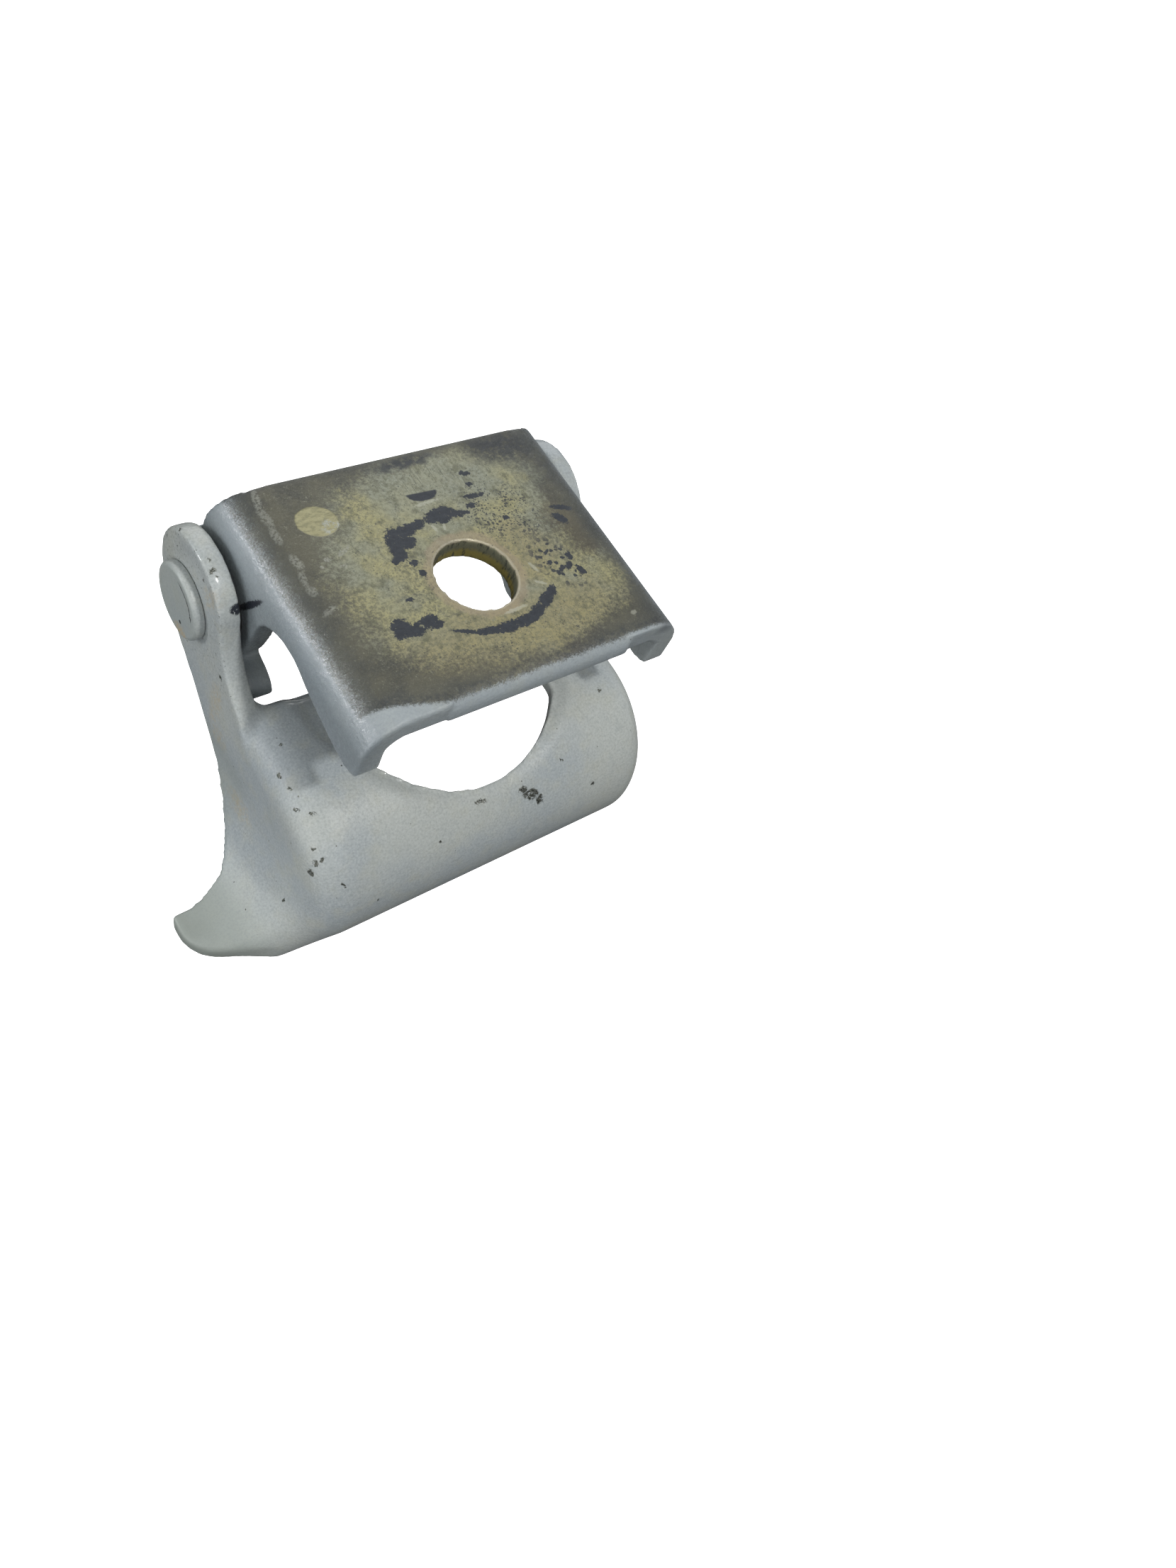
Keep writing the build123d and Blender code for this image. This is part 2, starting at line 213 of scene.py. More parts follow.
# ----------------------------------------------------------------------
# arm paint with its chips
# ----------------------------------------------------------------------
def arm_paint():
    g = Graph("arm_grey_paint")
    col, speck = paint_base(g)
    w1 = g.warp(1.6, 1.1, 11.0, 3.0)
    w2 = g.warp(4.5, 0.45, 12.0, 3.0)
    chips = [
        # centre, radii, turn
        ((5.3, -20.7, -27.6), (1.35, 0.8, 0.9), -25), ((4.0, -19.9, -26.7), (0.7, 0.4, 0.6), 10),
        ((6.7, -21.5, -28.9), (0.75, 0.5, 0.7), -40), ((-3.1, -19.2, -26.0), (1.0, 0.35, 0.5), -15),
        ((-27.9, -17.5, -27.2), (0.62, 0.42, 0.5), 30), ((-26.9, -17.6, -26.5), (0.6, 0.2, 0.4), 20),
        ((-27.7, -16.1, -25.8), (0.3, 0.25, 0.3), 0), ((-25.5, -21.2, -29.0), (0.2, 0.45, 0.6), 20),
        ((-29.9, -16.1, -39.6), (0.4, 0.3, 0.4), 0), ((-27.6, -5.9, -23.2), (0.4, 0.45, 0.4), 0),
        ((-27.3, -8.2, -22.9), (0.25, 0.4, 0.4), 25), ((-26.4, -12.6, -22.9), (0.55, 0.18, 0.4), -25),
        ((-27.8, -11.0, -23.7), (0.3, 0.35, 0.4), 10), ((16.9, -22.3, -30.1), (0.3, 0.36, 0.4), 0),
        ((-28.3, 14.6, -5.4), (0.6, 0.34, 0.42), 15), ((-29.0, 15.0, -7.3), (0.3, 0.3, 0.3), 0),
        ((-28.0, 15.9, -5.0), (0.3, 0.2, 0.3), 60), ((-27.9, 14.0, -5.9), (0.25, 0.3, 0.3), 0),
        ((-28.9, 22.6, -6.0), (0.7, 0.6, 0.3), -15), ((-29.0, 8.3, -19.5), (0.4, 0.5, 0.35), 30),
        ((-28.5, -17.8, -28.9), (0.5, 0.5, 0.5), 0), ((-25.6, -2.5, -21.9), (0.28, 0.25, 0.4), 0),
        ((-10.5, -21.6, -28.4), (0.3, 0.28, 0.4), 0), ((11.5, -18.6, -25.5), (0.3, 0.25, 0.4), 0),
        ((22.0, -12.0, -22.0), (0.35, 0.28, 0.4), 0), ((-20.5, -23.2, -34.0), (0.3, 0.28, 0.7), 0),
        ((28.9, 16.0, -9.0), (0.6, 0.5, 0.5), 0), ((28.9, 4.0, -30.0), (0.6, 0.8, 0.5), 20),
        ((33.5, -14.0, -44.5), (0.7, 0.5, 0.6), 0),
    ]
    # rough the chips' outline, then break them up so islands of paint stay
    isl = g.step(g.noise(2.3, 3.0, 0.6, seed=14.0), 0.36, 0.47)
    raw = g.union(g.ell(w1, c, r, a, 0.22) for c, r, a in chips)
    halo = g.union(g.ell(w2, c, (r[0] * 1.5, r[1] * 1.7, r[2] * 1.7), a, 0.3) for c, r, a in chips[:5])
    chip = g.mul(raw, isl)
    peck = g.mul(halo, g.step(g.vor(2.4, vec=g.warp(3.0, 0.4, 15.0)), 0.17, 0.12))
    chip = g.union([chip, peck, speck])
    metal_noise = g.noise(5.0, 3.0, seed=16.0)
    bare = g.mix(g.step(metal_noise, 0.35, 0.65), lin(52, 55, 53), lin(118, 120, 112))

    # soft scuffs and streaks
    streak = g.noise(0.55, 4.0, 0.7, stretch=(1.0, 0.35, 0.5), seed=17.0)
    col = g.mix(g.m("MULTIPLY", g.step(streak, 0.56, 0.76), 0.3), col, lin(142, 150, 150))
    hair = g.noise(1.1, 5.0, 0.75, stretch=(2.6, 0.5, 0.5), seed=18.0)
    col = g.mix(g.m("MULTIPLY", g.step(hair, 0.62, 0.7), 0.25), col, lin(120, 126, 124))

    # faint yellow-brown tints on the flange, wing and ear
    tints = [((-29.0, 6.8, -31.6), (2.0, 1.6, 1.3)), ((-29.0, 8.6, -25.1), (2.0, 1.2, 2.6)),
             ((-29.3, -1.3, -37.7), (2.0, 2.4, 1.2)), ((-29.0, 13.0, -9.0), (1.5, 1.2, 1.6)),
             ((-29.0, 9.0, -28.5), (1.5, 0.8, 2.0))]
    wt = g.warp(0.7, 2.4, 19.0, 4.0)
    tint = g.union(g.ell(wt, c, r, 0.0, 0.75) for c, r in tints)
    tint = g.mul(tint, g.step(g.noise(1.4, 4.0, 0.7, seed=20.0), 0.38, 0.66))
    col = g.mix(g.m("MULTIPLY", tint, 0.5), col, lin(176, 158, 118))
    # wing tips: browner and darker
    ax = g.m("ABSOLUTE", g.x)
    tip = g.mul(g.step(ax, 33.0, 41.5), g.step(g.z, -44.0, -47.5))
    tip = g.mul(tip, g.mixf(0.5, 1.0, g.step(g.noise(0.3, 3.0, seed=21.0), 0.3, 0.6)))
    col = g.mix(g.m("MULTIPLY", tip, 0.75), col, lin(140, 144, 134))
    # the lower wing is a little darker
    wing = g.mul(g.step(ax, 29.5, 36.0), g.step(g.z, -36.0, -44.0))
    col = g.mix(g.m("MULTIPLY", wing, 0.65), col, lin(138, 146, 142))
    # low down at the back the paint is darker and greener
    geo_in = g.mul(g.step(g.y, -4.0, 2.0), g.step(g.z, -30.0, -34.0))
    col = g.mix(g.m("MULTIPLY", geo_in, 0.35), col, lin(134, 140, 132))
    # ink dash that starts on the ear's inner edge
    ink = g.mul(g.ell(w2, (-26.5, 10.8, -9.0), (1.0, 0.9, 0.7), 0.0, 0.2),
                g.step(g.noise(3.0, 2.0, seed=22.0), 0.3, 0.42))
    # worn cut edges: paint is thinner there and shows grey-brown nicks
    edge = g.mul(g.step(g.noise(1.8, 4.0, 0.7, seed=23.0), 0.6, 0.67),
                 g.step(g.m("ABSOLUTE", g.m("SUBTRACT", ax, 28.9)), 0.35, 0.1),
                 g.step(g.z, -24.0, -20.0))
    chip = g.union([chip, g.m("MULTIPLY", edge, 0.8)])

    col = g.mix(chip, col, bare)
    col = g.mix(ink, col, lin(34, 38, 46))
    rough = g.mixf(g.noise(0.8, 3.0, seed=24.0), 0.34, 0.48)
    rough = g.mixf(chip, rough, 0.5)
    metal = g.m("MULTIPLY", chip, 0.7)
    nrm = g.bump(g.noise(1.1, 2.0, seed=25.0), 0.00006, 1.0)
    nrm = g.bump(g.noise(5.0, 3.0, seed=26.0), 0.000012, 1.0, nrm)
    lip = g.vm("LENGTH", g.vm("MULTIPLY", g.vm("SUBTRACT", g.p, (-0.8, 1.2, 0.0)), (1.0, 1.0, 0.0)))
    lip = g.mul(g.step(g.m("ABSOLUTE", g.m("SUBTRACT", lip, 19.4)), 2.4, 1.4), g.step(g.z, -33.0, -29.0))
    ear = g.mul(g.step(g.y, 8.0, 12.0), g.step(g.z, -18.0, -13.0))
    g.put(g.b.inputs["Coat Weight"], g.m("MAXIMUM", lip, g.m("MULTIPLY", ear, 0.4)))
    g.b.inputs["Coat Roughness"].default_value = 0.1
    return g.done(col, rough, metal, nrm, 0.36)


# ----------------------------------------------------------------------
# pin heads
# ----------------------------------------------------------------------
def pin_paint():
    g = Graph("pin_grey_paint")
    col, speck = paint_base(g)
    PY, PZ = 18.4, -15.2
    d = g.vm("LENGTH", g.vm("MULTIPLY", g.vm("SUBTRACT", g.p, (0.0, PY, PZ)), (0.0, 1.0, 1.0)))
    ax = g.m("ABSOLUTE", g.x)
    face = g.step(ax, 30.1, 30.4)
    # thin dark crack in the paint along part of the head's rim
    ang = g.m("ARCTAN2", g.m("SUBTRACT", g.z, PZ), g.m("SUBTRACT", PY, g.y))
    wob = g.m("MULTIPLY", g.m("SUBTRACT", g.noise(1.4, 3.0, seed=31.0), 0.5), 0.5)
    line = g.step(g.m("ABSOLUTE", g.m("SUBTRACT", g.m("ADD", d, wob), 4.05)), 0.17, 0.05)
    arc = g.mul(line, g.step(ang, 0.1, 0.25), g.step(ang, 1.65, 1.35), face,
                g.step(g.noise(2.0, 3.0, seed=32.0), 0.34, 0.42))
    dot = g.mul(g.ell(g.warp(3.0, 0.4, 33.0), (-30.4, 17.0, -17.6), (1.0, 0.28, 0.28)), face)
    tint = g.mul(g.ell(g.warp(1.0, 1.6, 34.0, 3.0), (-30.5, 16.6, -19.2), (1.5, 1.3, 0.9), 0.0, 0.6),
                 g.step(g.noise(2.2, 3.0, seed=35.0), 0.35, 0.6))
    col = g.mix(g.m("MULTIPLY", face, 0.45), col, lin(150, 158, 154))
    col = g.mix(g.m("MULTIPLY", tint, 0.65), col, lin(182, 158, 112))
    nick = g.union([arc, dot, speck])
    # the shank between the flanges is bare, dull steel
    shank = g.mul(g.step(ax, 26.2, 25.6))
    col = g.mix(nick, col, lin(52, 56, 58))
    turn = g.noise(0.9, 3.0, 0.7, stretch=(3.5, 0.3, 0.3), seed=39.0)
    col = g.mix(shank, col, g.mix(turn, lin(96, 98, 94), lin(140, 141, 136)))
    rough = g.mixf(g.noise(1.0, 3.0, seed=36.0), 0.3, 0.46)
    nrm = g.bump(g.noise(0.9, 3.0, seed=37.0), 0.00005, 1.0)
    nrm = g.bump(g.noise(5.0, 3.0, seed=38.0), 0.000015, 1.0, nrm)
    nrm = g.bump(g.inv(arc), 0.00008, 1.0, nrm)
    return g.done(col, rough, g.m("MULTIPLY", shank, 0.6), nrm, 0.5)


def bush_mat():
    g = Graph("bush_dark")
    n = g.noise(1.5, 3.0, seed=41.0)
    col = g.mix(n, lin(36, 38, 40), lin(66, 66, 62))
    nrm = g.bump(g.noise(3.0, 3.0, seed=42.0), 0.00003, 1.0)
    return g.done(col, g.mixf(n, 0.4, 0.6), 0.3, nrm)


# ----------------------------------------------------------------------
# channel bracket: worn zinc top, painted bends, flanges and edges
# ----------------------------------------------------------------------
def channel_mat():
    g = Graph("channel_zinc_and_paint")
    paint, speck = paint_base(g)
    paint = g.mix(0.5, paint, lin(138, 147, 152))
    w_big = g.warp(0.16, 6.0, 51.0, 2.0)
    w_mid = g.warp(0.7, 1.6, 52.0, 3.0)
    w_fin = g.warp(2.6, 0.6, 53.0, 3.0)
    x, y, z = g.x, g.y, g.z
    rr = g.vm("LENGTH", g.vm("MULTIPLY", g.p, (1.0, 1.0, 0.0)))

    # ---- zinc: olive bronze margins, bare yellowish centre
    # centre field: soft rounded patch, a little wider to the left and back
    f1 = g.ell(w_big, (-1.0, 3.0), (15.6, 15.4), 0.0, 0.4, True)
    f2 = g.ell(w_big, (1.6, -5.0), (17.6, 7.8), -4.0, 0.4, True)
    f3 = g.ell(w_big, (5.5, 12.0), (11.5, 7.6), 0.0, 0.4, True)
    field = g.union([f1, f2, f3])
    grain = g.noise(1.9, 6.0, 0.72, seed=54.0)
    grit = g.noise(4.6, 4.0, 0.7, seed=55.0)
    cloud = g.noise(0.17, 4.0, 0.6, seed=56.0)
    field_n = g.m("ADD", field, g.m("MULTIPLY", g.m("SUBTRACT", grain, 0.5), 1.5))
    fieldm = g.step(field_n, 0.2, 0.95)

    olive = g.mix(g.step(cloud, 0.35, 0.65), lin(93, 92, 79), lin(74, 75, 69))
    olive = g.mix(g.m("MULTIPLY", g.step(grit, 0.45, 0.75), 0.4), olive, lin(126, 124, 108))
    brown = g.mix(0.5, olive, lin(98, 88, 68))
    rim_brown = g.mul(g.step(g.ell(w_big, (1.5, 1.0), (17.8, 17.0), 0.0, 0.2, True), 0.0, 1.0), g.inv(fieldm))
    olive = g.mix(g.m("MULTIPLY", rim_brown, 0.6), olive, brown)

    zinc_g = lin(142, 145, 127)
    zinc_y = lin(161, 157, 118)
    bare = g.mix(g.step(g.noise(0.13, 3.0, 0.6, seed=57.0), 0.38, 0.62), zinc_g, zinc_y)
    # lower band and the left side are yellower, the back greyer
    yel = g.m("MAXIMUM", g.ell(w_big, (0.0, -9.5), (15.0, 4.2), 0.0, 0.5, True),
              g.ell(w_big, (8.5, 1.5), (4.2, 4.5), 0.0, 0.6, True))
    bare = g.mix(g.m("MULTIPLY", yel, 0.75), bare, lin(150, 142, 106))
    bare = g.mix(g.m("MULTIPLY", g.ell(w_big, (3.5, 15.5), (9.0, 4.5), 0.0, 0.5, True), 0.7), bare, lin(142, 147, 135))
    bare = g.mix(g.m("MULTIPLY", g.step(grain, 0.56, 0.44), 0.5), bare, lin(112, 112, 92))
    bare = g.mix(g.m("MULTIPLY", g.step(grit, 0.56, 0.7), 0.35), bare, lin(174, 173, 152))
    # drag marks: fine lines running front to back at the rear
    drag = g.noise(1.5, 4.0, 0.7, stretch=(3.0, 0.22, 1.0), seed=58.0)
    dragm = g.mul(g.step(drag, 0.56, 0.66), g.ell(w_mid, (2.5, 15.8), (6.0, 2.6), 0.0, 0.4, True))
    bare = g.mix(g.m("MULTIPLY", dragm, 0.85), bare, lin(98, 100, 88))
    cross = g.noise(1.2, 4.0, 0.75, stretch=(0.5, 2.2, 1.0), seed=59.0)
    bare = g.mix(g.m("MULTIPLY", g.step(cross, 0.6, 0.7), 0.3), bare, lin(104, 104, 88))
    worn = g.step(g.noise(0.55, 6.0, 0.75, stretch=(1.0, 0.8, 1.0), seed=85.0), 0.5, 0.64)
    bare = g.mix(g.m("MULTIPLY", worn, 0.75), bare, lin(98, 99, 80))
    pit = g.step(g.noise(1.9, 5.0, 0.85, seed=86.0), 0.56, 0.63)
    bare = g.mix(g.m("MULTIPLY", pit, 0.7), bare, lin(76, 78, 68))
    zinc = g.mix(fieldm, olive, bare)
    fleck = g.step(g.noise(1.7, 5.0, 0.85, seed=87.0), 0.58, 0.66)
    zinc = g.mix(g.m("MULTIPLY", fleck, 0.45), zinc, lin(158, 159, 140))

    # smudged dark band along the back edge and in the back right corner
    sm = g.union([g.ell(w_mid, (0.5, 19.4), (4.2, 0.8), 3.0, 0.6, True),
                  g.m("MULTIPLY", g.ell(w_mid, (15.5, 18.3), (4.6, 2.6), -8.0, 0.7, True), 0.9),
                  g.m("MULTIPLY", g.ell(w_big, (18.0, 15.0), (2.4, 4.5), 0.0, 0.8, True), 0.55)])
    sm = g.mul(sm, g.step(g.noise(0.8, 5.0, 0.7, seed=60.0), 0.26, 0.55))
    zinc = g.mix(g.m("MULTIPLY", sm, 0.9), zinc, lin(52, 56, 62))
    back = g.step(g.m("ADD", y, g.m("MULTIPLY", g.m("SUBTRACT", grain, 0.5), 1.4)), 19.4, 21.2)
    zinc = g.mix(g.m("MULTIPLY", back, 0.7), zinc, lin(74, 76, 74))

    # pinkish-tan pressed ring round the hole, brightest at its left and front
    ring = g.mul(g.step(g.m("ADD", rr, g.m("MULTIPLY", g.m("SUBTRACT", g.noise(0.5, 2.0, seed=61.0), 0.5), 1.6)), 7.3, 6.5),
                 g.step(rr, 5.2, 5.6))
    zinc = g.mix(g.m("MULTIPLY", ring, 0.5), zinc, lin(158, 143, 122))
    lip = g.step(g.m("ABSOLUTE", g.m("SUBTRACT", rr, 5.72)), 0.22, 0.06)
    zinc = g.mix(g.m("MULTIPLY", lip, 0.4), zinc, lin(190, 186, 168))

    # bare oval spot with grey flecks on its right
    oval = g.ell(g.warp(1.2, 0.25, 62.0), (-15.3, 13.8), (2.75, 2.35), -10.0, 0.05, True)
    oc = g.mix(g.step(g.noise(1.3, 4.0, 0.7, stretch=(0.7, 1.6, 1.0), seed=63.0), 0.42, 0.62), lin(158, 154, 120), lin(136, 134, 104))
    flk = g.mul(g.ell(w_mid, (-13.9, 12.4), (1.3, 1.1), 0.0, 0.4, True), g.step(g.noise(1.6, 5.0, 0.8, seed=64.0), 0.46, 0.6))
    oc = g.mix(g.m("MULTIPLY", flk, 0.8), oc, lin(172, 178, 176))
    zinc = g.mix(oval, zinc, oc)

    # dull pale scratches and rubbed spots on the left
    sc = g.union(g.ell(w_fin, c, r, a, 0.35, True) for c, r, a in [
        ((-20.7, 19.0), (0.42, 1.6), -12), ((-20.9, 16.4), (0.5, 1.6), 6), ((-21.0, 13.6), (0.45, 1.4), 0),
        ((-20.6, 9.0), (0.5, 1.2), 12), ((-21.0, 6.6), (0.36, 1.3), -8), ((-20.9, 4.6), (0.5, 0.9), 10),
        ((-20.4, 1.2), (0.9, 0.4), 20), ((-17.0, 8.0), (0.4, 0.35), 0), ((-18.2, 7.2), (0.25, 0.25), 0),
        ((-15.6, 6.5), (0.45, 0.35), 0), ((-14.4, 8.6), (1.1, 0.35), 30)])
    sc = g.mul(sc, g.step(g.noise(2.8, 4.0, 0.7, seed=65.0), 0.38, 0.56))
    zinc = g.mix(g.m("MULTIPLY", sc, 0.62), zinc, lin(158, 160, 150))

    # black marks: an inked arc in front of the hole, blots and specks round it
    E = lambda c, r, a=0.0: (c, r, a)
    ink = [
        E((-6.0, -7.4), (1.6, 0.24), -24), E((-3.2, -8.25), (1.7, 0.42), -10), E((-0.3, -8.6), (1.8, 0.62), 0),
        E((2.4, -8.5), (1.7, 0.66), 6), E((4.7, -7.8), (1.5, 0.62), 28), E((6.8, -6.6), (1.5, 0.62), 34),
        E((8.3, -5.7), (0.9, 0.5), 40),
        E((-13.6, -4.1), (1.1, 1.0), 20), E((-12.6, -4.9), (1.4, 0.7), -10), E((-14.2, -5.0), (0.6, 0.5), 0),
        E((-9.7, -4.5), (0.95, 0.8), 40), E((-9.0, -5.1), (0.8, 0.45), 10), E((-11.0, -4.2), (0.9, 0.28), 10),
        E((-7.4, 8.0), (1.0, 1.7), -15), E((-7.9, 6.2), (0.8, 1.1), 0), E((-5.6, 9.0), (1.9, 0.75), 10),
        E((-3.4, 9.5), (1.1, 0.55), 10), E((-8.7, 5.3), (0.8, 0.4), 30), E((-6.0, 7.4), (1.0, 0.8), 0),
        E((-0.2, 10.1), (1.4, 0.75), 15), E((1.5, 10.4), (1.3, 0.65), -20), E((2.9, 9.6), (1.5, 0.4), -8),
        E((0.8, 9.3), (1.0, 0.5), 0),
        E((7.8, 15.5), (0.62, 0.35), -10), E((7.4, 13.6), (0.4, 0.25)), E((6.6, 11.7), (1.0, 0.32), -6),
        E((8.0, 11.6), (0.4, 0.25)), E((5.6, 10.3), (0.6, 0.35), 10), E((9.2, 7.0), (0.45, 0.3)),
        E((16.8, 4.6), (0.5, 1.0), 35), E((17.9, 6.3), (1.2, 0.34), -18), E((19.0, 5.7), (0.5, 0.25)),
        E((14.5, -4.0), (0.4, 0.7), 20), E((13.2, -2.8), (0.6, 0.35), 40), E((14.2, -1.4), (0.35, 0.5), 0),
        E((-6.9, 4.2), (0.5, 0.35)), E((-6.6, 2.4), (0.35, 0.4)), E((-10.4, -0.7), (0.45, 0.25)),
    ]
    cres = g.mul(g.ell(g.warp(1.5, 0.3, 66.0), (0.1, 14.15), (2.25, 1.35), -3.0, 0.07, True),
                 g.step(g.m("ADD", y, g.m("MULTIPLY", x, 0.05)), 14.35, 14.1))
    inkm = g.union(g.ell(w_fin, c, (r[0] * 1.05, r[1] * 1.1), a, 0.85, True) for c, r, a in ink)
    inkm = g.step(g.m("MULTIPLY_ADD", g.m("SUBTRACT", g.noise(1.7, 6.0, 0.85, seed=67.0), 0.5), 2.6, inkm), 0.52, 0.68)
    # granular specks in loose fields
    sp_cell = g.vor(1.25, vec=g.warp(1.6, 0.7, 68.0))
    sp_fine = g.vor(2.6, vec=g.warp(3.0, 0.5, 69.0))
    fA = g.ell(w_mid, (9.5, 8.0), (5.6, 4.6), -30.0, 0.5, True)
    fB = g.ell(w_mid, (12.0, -1.8), (2.6, 4.4), 20.0, 0.5, True)
    fC = g.ell(w_mid, (-8.5, 1.0), (3.0, 6.5), 0.0, 0.6, True)
    fD = g.ell(w_mid, (2.0, -10.5), (13.0, 1.6), 0.0, 0.7, True)
    thr = g.noise(0.5, 3.0, 0.6, seed=70.0)
    spA = g.mul(g.m("MAXIMUM", fA, g.m("MULTIPLY", fC, 0.5)), g.step(g.m("ADD", sp_fine, g.m("MULTIPLY", g.m("SUBTRACT", thr, 0.5), 1.3)), 0.4, 0.26))
    spB = g.mul(fB, g.step(g.m("ADD", sp_cell, g.m("MULTIPLY", g.m("SUBTRACT", thr, 0.5), 1.2)), 0.44, 0.3))
    spD = g.mul(g.m("MULTIPLY", fD, 0.8), g.step(g.m("ADD", sp_fine, g.m("MULTIPLY", g.m("SUBTRACT", thr, 0.5), 0.9)), 0.24, 0.14))
    spE = g.mul(fieldm, g.step(sp_fine, 0.24, 0.14), g.step(thr, 0.46, 0.58))
    specks = g.union([g.m("MULTIPLY", spA, 0.85), spB, spD, g.m("MULTIPLY", spE, 0.7)])
    black = g.union([inkm, cres, specks])
    zinc = g.mix(black, zinc, g.mix(g.noise(1.4, 3.0, seed=71.0), lin(20, 26, 34), lin(48, 54, 62)))
    # pale edge under the crescent and pale nicks near the ring
    nick = g.union(g.ell(w_fin, c, r, a, 0.3, True) for c, r, a in [
        ((0.0, 12.45), (1.8, 0.2), 3), ((-1.3, 8.3), (0.25, 0.6), 10), ((0.1, 8.2), (0.2, 0.55), -20),
        ((2.0, -6.6), (1.8, 0.25), 4), ((8.2, -1.5), (0.3, 0.9), 20), ((-5.4, -1.0), (0.3, 0.3), 0),
        ((7.7, -4.0), (0.22, 0.8), 55), ((17.5, -12.6), (0.5, 0.3), 10)])
    zinc = g.mix(g.m("MULTIPLY", nick, 0.45), zinc, lin(186, 187, 172))

    # ---- paint over the bends and the free edge, sprayed on with a rough border
    spray = g.m("MULTIPLY", g.m("SUBTRACT", g.noise(3.6, 5.0, 0.85, seed=72.0), 0.5), 6.5)
    spray2 = g.m("MULTIPLY", g.m("SUBTRACT", g.noise(0.5, 3.0, 0.6, seed=73.0), 0.5), 1.2)
    off = g.m("ADD", spray, spray2)
    left = g.step(g.m("ADD", x, off), -22.3, -24.8)
    right = g.step(g.m("ADD", x, off), 20.4, 23.4)
    # front border: low across the roll, climbing onto the left tab
    climb = g.m("MAXIMUM", g.m("MULTIPLY", g.m("SUBTRACT", -14.0, x), 0.30), 0.0)
    fr = g.m("SUBTRACT", g.m("ADD", y, g.m("MULTIPLY", off, 0.35)), climb)
    front = g.step(fr, -15.05, -15.65)
    low = g.m("MAXIMUM", g.step(z, -1.9, -2.6), g.mul(g.step(z, -0.9, -1.5), g.step(y, -15.4, -15.9)))
    pm = g.union([left, right, front, low])
    # the hole's wall stays zinc, yellow at its foot
    wall = g.mul(g.step(rr, 5.62, 5.52), g.step(z, -3.7, -3.4))
    pm = g.mul(pm, g.inv(wall))
    wallc = g.mix(g.step(g.m("ADD", z, g.m("MULTIPLY", g.m("SUBTRACT", grain, 0.5), 1.6)), -2.2, -1.2), lin(150, 138, 78), lin(118, 118, 98))
    wallc = g.mix(g.step(g.noise(1.3, 4.0, 0.7, stretch=(1, 1, 0.3), seed=74.0), 0.5, 0.64), wallc, lin(70, 72, 62))
    zinc = g.mix(wall, zinc, wallc)

    # transition: thin paint reads darker and speckled before it covers
    haze_l = g.step(g.m("ADD", x, g.m("MULTIPLY", off, 0.8)), -19.6, -22.8)
    haze_r = g.step(g.m("ADD", x, g.m("MULTIPLY", off, 0.8)), 18.2, 20.8)
    haze_f = g.step(fr, -11.5, -15.2)
    haze = g.mul(g.union([haze_l, haze_r, g.m("MULTIPLY", haze_f, 0.7)]), g.inv(pm))
    zinc = g.mix(g.m("MULTIPLY", haze, 0.4), zinc, lin(84, 90, 92))
    # dark chipped line where the front paint ends
    band = g.mul(g.step(g.m("ABSOLUTE", g.m("ADD", fr, 14.8)), 1.3, 0.2),
                 g.step(g.noise(1.5, 5.0, 0.8, seed=75.0), 0.46, 0.56), g.step(z, -1.2, -0.6))
    zinc = g.mix(g.m("MULTIPLY", band, 0.6), zinc, lin(64, 68, 70))

    # right bend paint is darker and bluer, left flange bluish
    paint = g.mix(g.mul(g.step(x, 19.0, 21.5), g.step(z, -3.0, -0.6)), paint, lin(112, 118, 122))
    paint = g.mix(g.mul(g.step(x, -21.0, -24.0), 0.55), paint, lin(122, 132, 139))
    chipz = g.mul(g.step(g.noise(1.7, 5.0, 0.72, seed=76.0), 0.665, 0.7),
                  g.m("MAXIMUM", g.step(y, -14.6, -15.8), g.step(g.m("ABSOLUTE", x), 24.2, 24.9)))
    paint = g.mix(g.m("MAXIMUM", g.m("MULTIPLY", chipz, 0.8), g.m("MULTIPLY", speck, 0.8)), paint, lin(66, 68, 64))
    # ink dash on the left flange next to the ear
    q = g.vm("SUBTRACT", g.warp(2.2, 0.7, 77.0, 3.0), (-25.0, 10.6, -8.7))
    du = g.vm("DOT_PRODUCT", q, (0.0, -0.125, 0.19))
    dv = g.vm("DOT_PRODUCT", q, (0.0, 1.75, 1.16))
    ink2 = g.mul(g.step(g.m("MULTIPLY_ADD", du, du, g.m("MULTIPLY", dv, dv)), 1.25, 0.75), g.step(x, -23.0, -24.2))
    paint = g.mix(ink2, paint, lin(34, 38, 48))

    col = g.mix(pm, zinc, paint)
    spark = g.mul(g.step(g.noise(5.5, 3.0, 0.8, seed=79.0), 0.52, 0.66), g.union([haze, pm]))
    rough_z = g.mixf(g.step(grain, 0.35, 0.65), 0.34, 0.56)
    rough_z = g.mixf(black, rough_z, 0.5)
    rough = g.mixf(pm, rough_z, g.mixf(g.noise(1.0, 3.0, seed=80.0), 0.3, 0.44))
    rough = g.mixf(g.m("MULTIPLY", spark, 0.5), rough, 0.2)
    metal = g.mixf(pm, g.mixf(black, 0.42, 0.0), 0.0)
